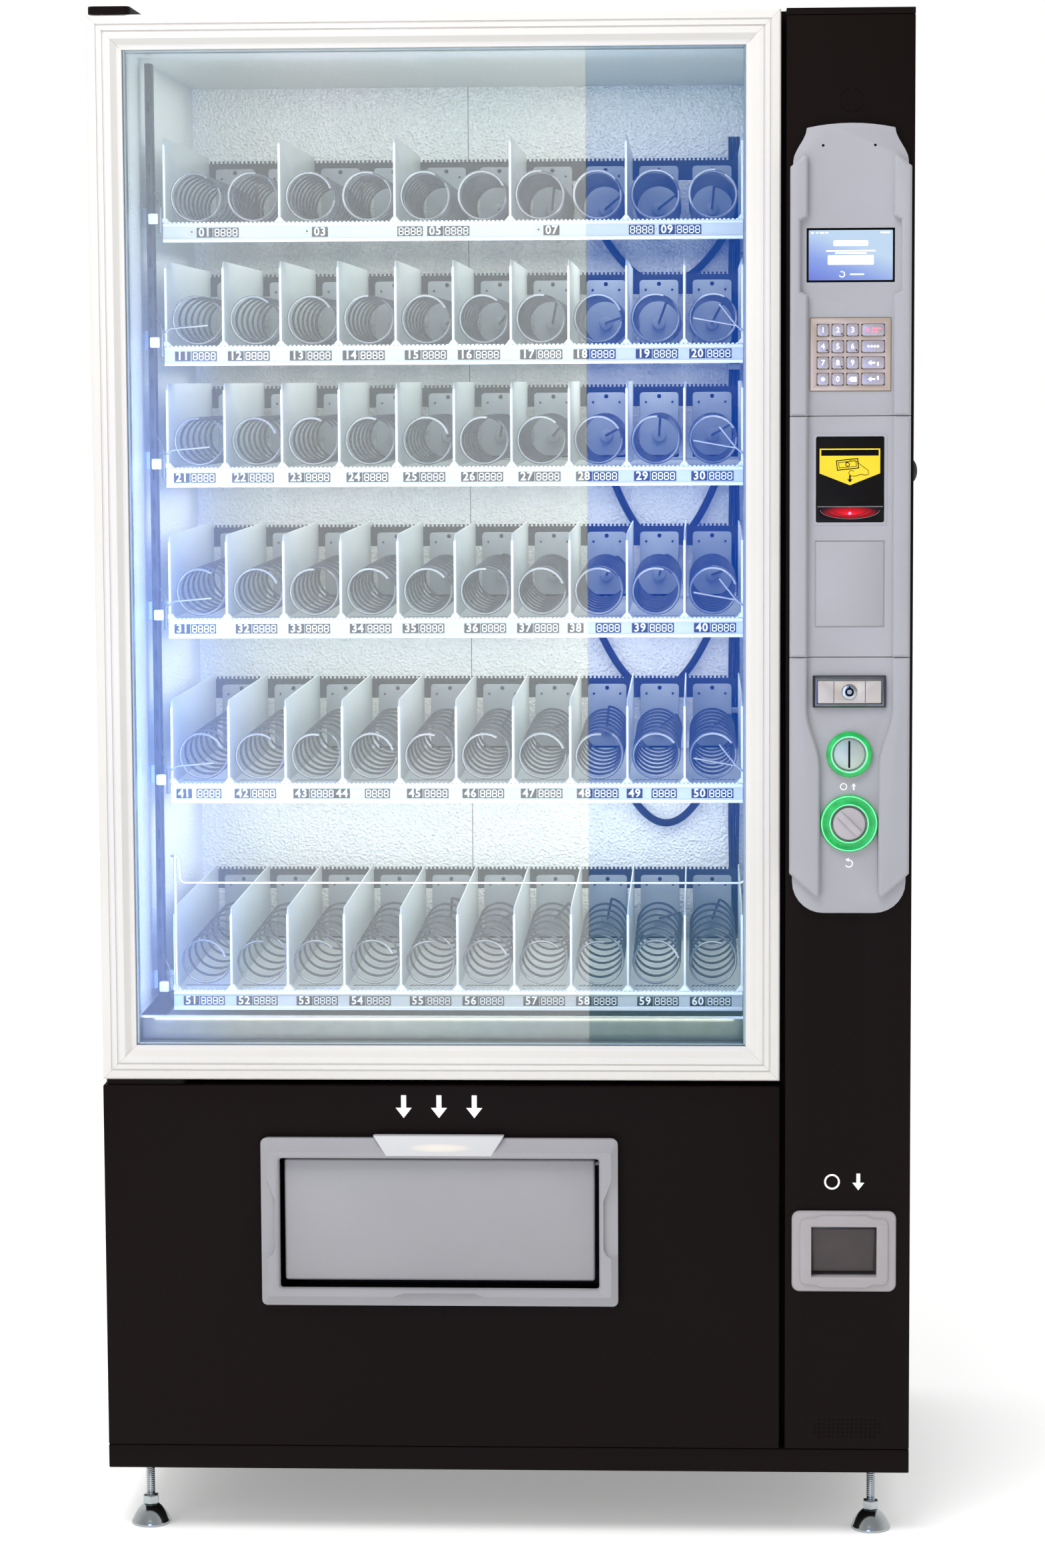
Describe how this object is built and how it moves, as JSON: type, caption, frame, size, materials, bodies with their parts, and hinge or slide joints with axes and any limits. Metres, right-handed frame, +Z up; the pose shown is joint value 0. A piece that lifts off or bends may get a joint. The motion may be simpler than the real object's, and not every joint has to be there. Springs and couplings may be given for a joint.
{
  "type": "snack vending machine",
  "caption": "Free-standing glass-front vending machine with spiral product trays, a hinged glass door, a control column with keypad, note and coin entry, and a push-in pickup flap.",
  "frame": {"origin": "middle of the footprint on the floor", "axes": "+Z up from the floor to the roof, front towards -Y, +X to the right seen from the front"},
  "size_m": [1.05, 0.82, 1.9863],
  "materials": {
    "black_paint": "fine-textured black powder coat",
    "galvanised": "galvanised sheet, dull",
    "white_profile": "white satin aluminium profile",
    "clear_glass": "clear double glazing",
    "black_rubber": "matte black seal",
    "grey_abs": "moulded grey plastic, fine texture",
    "white_enamel": "white enamelled sheet",
    "spring_steel": "bright drawn wire",
    "chrome_steel": "satin nickel and chrome",
    "black_abs": "black moulded plastic",
    "keypad_steel": "warm satin steel",
    "smoked_flap": "smoked translucent plastic",
    "display_glass": "backlit display window"
  },
  "bodies": {
    "cabinet": {"cabinet_body": "black_paint", "plinth": "black_paint", "foot_front_left": "chrome_steel", "foot_front_right": "chrome_steel", "foot_rear_left": "chrome_steel", "foot_rear_right": "chrome_steel", "hinge_plate_top": "black_paint", "lower_panel": "black_paint", "pickup_frame": "grey_abs", "delivery_bin": "galvanised", "cooling_unit": "galvanised", "tray_1": "white_enamel", "tray_2": "white_enamel", "tray_3": "white_enamel", "tray_4": "white_enamel", "tray_5": "white_enamel", "tray_6": "white_enamel"},
    "glass_door": {"door_frame": "white_profile", "glazing_unit": "clear_glass", "door_gasket": "black_rubber"},
    "control_column": {"control_door": "black_paint", "bezel_upper": "grey_abs", "bezel_middle": "grey_abs", "bezel_lower": "grey_abs", "display": "display_glass", "keypad_plate": "keypad_steel", "bill_validator": "black_abs", "lock_housing": "chrome_steel", "coin_cup": "grey_abs"},
    "t_handle_body": {"t_handle": "chrome_steel"},
    "key_cylinder_body": {"key_cylinder": "chrome_steel"},
    "return_knob_body": {"return_knob": "grey_abs"},
    "coin_flap_body": {"coin_flap": "smoked_flap"},
    "pickup_flap_body": {"pickup_flap": "grey_abs"},
    "key_1_body": {"key_1": "keypad_steel"},
    "key_2_body": {"key_2": "keypad_steel"},
    "key_3_body": {"key_3": "keypad_steel"},
    "key_select_body": {"key_select": "keypad_steel"},
    "key_4_body": {"key_4": "keypad_steel"},
    "key_5_body": {"key_5": "keypad_steel"},
    "key_6_body": {"key_6": "keypad_steel"},
    "key_code_body": {"key_code": "keypad_steel"},
    "key_7_body": {"key_7": "keypad_steel"},
    "key_8_body": {"key_8": "keypad_steel"},
    "key_9_body": {"key_9": "keypad_steel"},
    "key_back_body": {"key_back": "keypad_steel"},
    "key_star_body": {"key_star": "keypad_steel"},
    "key_0_body": {"key_0": "keypad_steel"},
    "key_clear_body": {"key_clear": "keypad_steel"},
    "key_enter_body": {"key_enter": "keypad_steel"},
    "spiral_01_body": {"spiral_01": "spring_steel"},
    "spiral_02_body": {"spiral_02": "spring_steel"},
    "spiral_03_body": {"spiral_03": "spring_steel"},
    "spiral_04_body": {"spiral_04": "spring_steel"},
    "spiral_05_body": {"spiral_05": "spring_steel"},
    "spiral_06_body": {"spiral_06": "spring_steel"},
    "spiral_07_body": {"spiral_07": "spring_steel"},
    "spiral_08_body": {"spiral_08": "spring_steel"},
    "spiral_09_body": {"spiral_09": "spring_steel"},
    "spiral_10_body": {"spiral_10": "spring_steel"}
  },
  "joints": [
    {"name": "glass_door_hinge", "type": "hinge", "parent": "cabinet", "child": "glass_door", "pos_m": [-0.511, -0.365, 0.608], "axis": [0, 0, -1], "range_deg": [0, 110]},
    {"name": "control_door_hinge", "type": "hinge", "parent": "cabinet", "child": "control_column", "pos_m": [0.511, -0.365, 0.1215], "axis": [0, 0, 1], "range_deg": [0, 110]},
    {"name": "pickup_flap_hinge", "type": "hinge", "parent": "cabinet", "child": "pickup_flap_body", "pos_m": [-0.086, -0.378, 0.498], "axis": [1, 0, 0], "range_deg": [0, 65]},
    {"name": "coin_flap_hinge", "type": "hinge", "parent": "control_column", "child": "coin_flap_body", "pos_m": [0.4394, -0.382, 0.4132], "axis": [1, 0, 0], "range_deg": [0, 60]},
    {"name": "return_knob_turn", "type": "hinge", "parent": "control_column", "child": "return_knob_body", "pos_m": [0.444, -0.395, 0.945], "axis": [0, 1, 0], "range_deg": [0, 60], "stiffness_Nm_per_rad": 0.05},
    {"name": "t_handle_slide", "type": "slide", "parent": "control_column", "child": "t_handle_body", "axis": [0, -1, 0], "range_m": [0, 0.03]},
    {"name": "key_cylinder_turn", "type": "hinge", "parent": "t_handle_body", "child": "key_cylinder_body", "pos_m": [0.444, -0.402, 1.114], "axis": [0, 1, 0], "range_deg": [0, 90]},
    {"name": "key_1_press", "type": "slide", "parent": "control_column", "child": "key_1_body", "axis": [0, 1, 0], "range_m": [0, 0.001], "stiffness_N_per_m": 300},
    {"name": "key_2_press", "type": "slide", "parent": "control_column", "child": "key_2_body", "axis": [0, 1, 0], "range_m": [0, 0.001], "stiffness_N_per_m": 300},
    {"name": "key_3_press", "type": "slide", "parent": "control_column", "child": "key_3_body", "axis": [0, 1, 0], "range_m": [0, 0.001], "stiffness_N_per_m": 300},
    {"name": "key_select_press", "type": "slide", "parent": "control_column", "child": "key_select_body", "axis": [0, 1, 0], "range_m": [0, 0.001], "stiffness_N_per_m": 300},
    {"name": "key_4_press", "type": "slide", "parent": "control_column", "child": "key_4_body", "axis": [0, 1, 0], "range_m": [0, 0.001], "stiffness_N_per_m": 300},
    {"name": "key_5_press", "type": "slide", "parent": "control_column", "child": "key_5_body", "axis": [0, 1, 0], "range_m": [0, 0.001], "stiffness_N_per_m": 300},
    {"name": "key_6_press", "type": "slide", "parent": "control_column", "child": "key_6_body", "axis": [0, 1, 0], "range_m": [0, 0.001], "stiffness_N_per_m": 300},
    {"name": "key_code_press", "type": "slide", "parent": "control_column", "child": "key_code_body", "axis": [0, 1, 0], "range_m": [0, 0.001], "stiffness_N_per_m": 300},
    {"name": "key_7_press", "type": "slide", "parent": "control_column", "child": "key_7_body", "axis": [0, 1, 0], "range_m": [0, 0.001], "stiffness_N_per_m": 300},
    {"name": "key_8_press", "type": "slide", "parent": "control_column", "child": "key_8_body", "axis": [0, 1, 0], "range_m": [0, 0.001], "stiffness_N_per_m": 300},
    {"name": "key_9_press", "type": "slide", "parent": "control_column", "child": "key_9_body", "axis": [0, 1, 0], "range_m": [0, 0.001], "stiffness_N_per_m": 300},
    {"name": "key_back_press", "type": "slide", "parent": "control_column", "child": "key_back_body", "axis": [0, 1, 0], "range_m": [0, 0.001], "stiffness_N_per_m": 300},
    {"name": "key_star_press", "type": "slide", "parent": "control_column", "child": "key_star_body", "axis": [0, 1, 0], "range_m": [0, 0.001], "stiffness_N_per_m": 300},
    {"name": "key_0_press", "type": "slide", "parent": "control_column", "child": "key_0_body", "axis": [0, 1, 0], "range_m": [0, 0.001], "stiffness_N_per_m": 300},
    {"name": "key_clear_press", "type": "slide", "parent": "control_column", "child": "key_clear_body", "axis": [0, 1, 0], "range_m": [0, 0.001], "stiffness_N_per_m": 300},
    {"name": "key_enter_press", "type": "slide", "parent": "control_column", "child": "key_enter_body", "axis": [0, 1, 0], "range_m": [0, 0.001], "stiffness_N_per_m": 300},
    {"name": "spiral_01_turn", "type": "hinge", "parent": "cabinet", "child": "spiral_01_body", "pos_m": [-0.413, 0, 0.734], "axis": [0, 1, 0], "continuous": true},
    {"name": "spiral_02_turn", "type": "hinge", "parent": "cabinet", "child": "spiral_02_body", "pos_m": [-0.337, 0, 0.734], "axis": [0, 1, 0], "continuous": true},
    {"name": "spiral_03_turn", "type": "hinge", "parent": "cabinet", "child": "spiral_03_body", "pos_m": [-0.261, 0, 0.734], "axis": [0, 1, 0], "continuous": true},
    {"name": "spiral_04_turn", "type": "hinge", "parent": "cabinet", "child": "spiral_04_body", "pos_m": [-0.185, 0, 0.734], "axis": [0, 1, 0], "continuous": true},
    {"name": "spiral_05_turn", "type": "hinge", "parent": "cabinet", "child": "spiral_05_body", "pos_m": [-0.109, 0, 0.734], "axis": [0, 1, 0], "continuous": true},
    {"name": "spiral_06_turn", "type": "hinge", "parent": "cabinet", "child": "spiral_06_body", "pos_m": [-0.033, 0, 0.734], "axis": [0, 1, 0], "continuous": true},
    {"name": "spiral_07_turn", "type": "hinge", "parent": "cabinet", "child": "spiral_07_body", "pos_m": [0.043, 0, 0.734], "axis": [0, 1, 0], "continuous": true},
    {"name": "spiral_08_turn", "type": "hinge", "parent": "cabinet", "child": "spiral_08_body", "pos_m": [0.119, 0, 0.734], "axis": [0, 1, 0], "continuous": true},
    {"name": "spiral_09_turn", "type": "hinge", "parent": "cabinet", "child": "spiral_09_body", "pos_m": [0.195, 0, 0.734], "axis": [0, 1, 0], "continuous": true},
    {"name": "spiral_10_turn", "type": "hinge", "parent": "cabinet", "child": "spiral_10_body", "pos_m": [0.271, 0, 0.734], "axis": [0, 1, 0], "continuous": true}
  ]
}
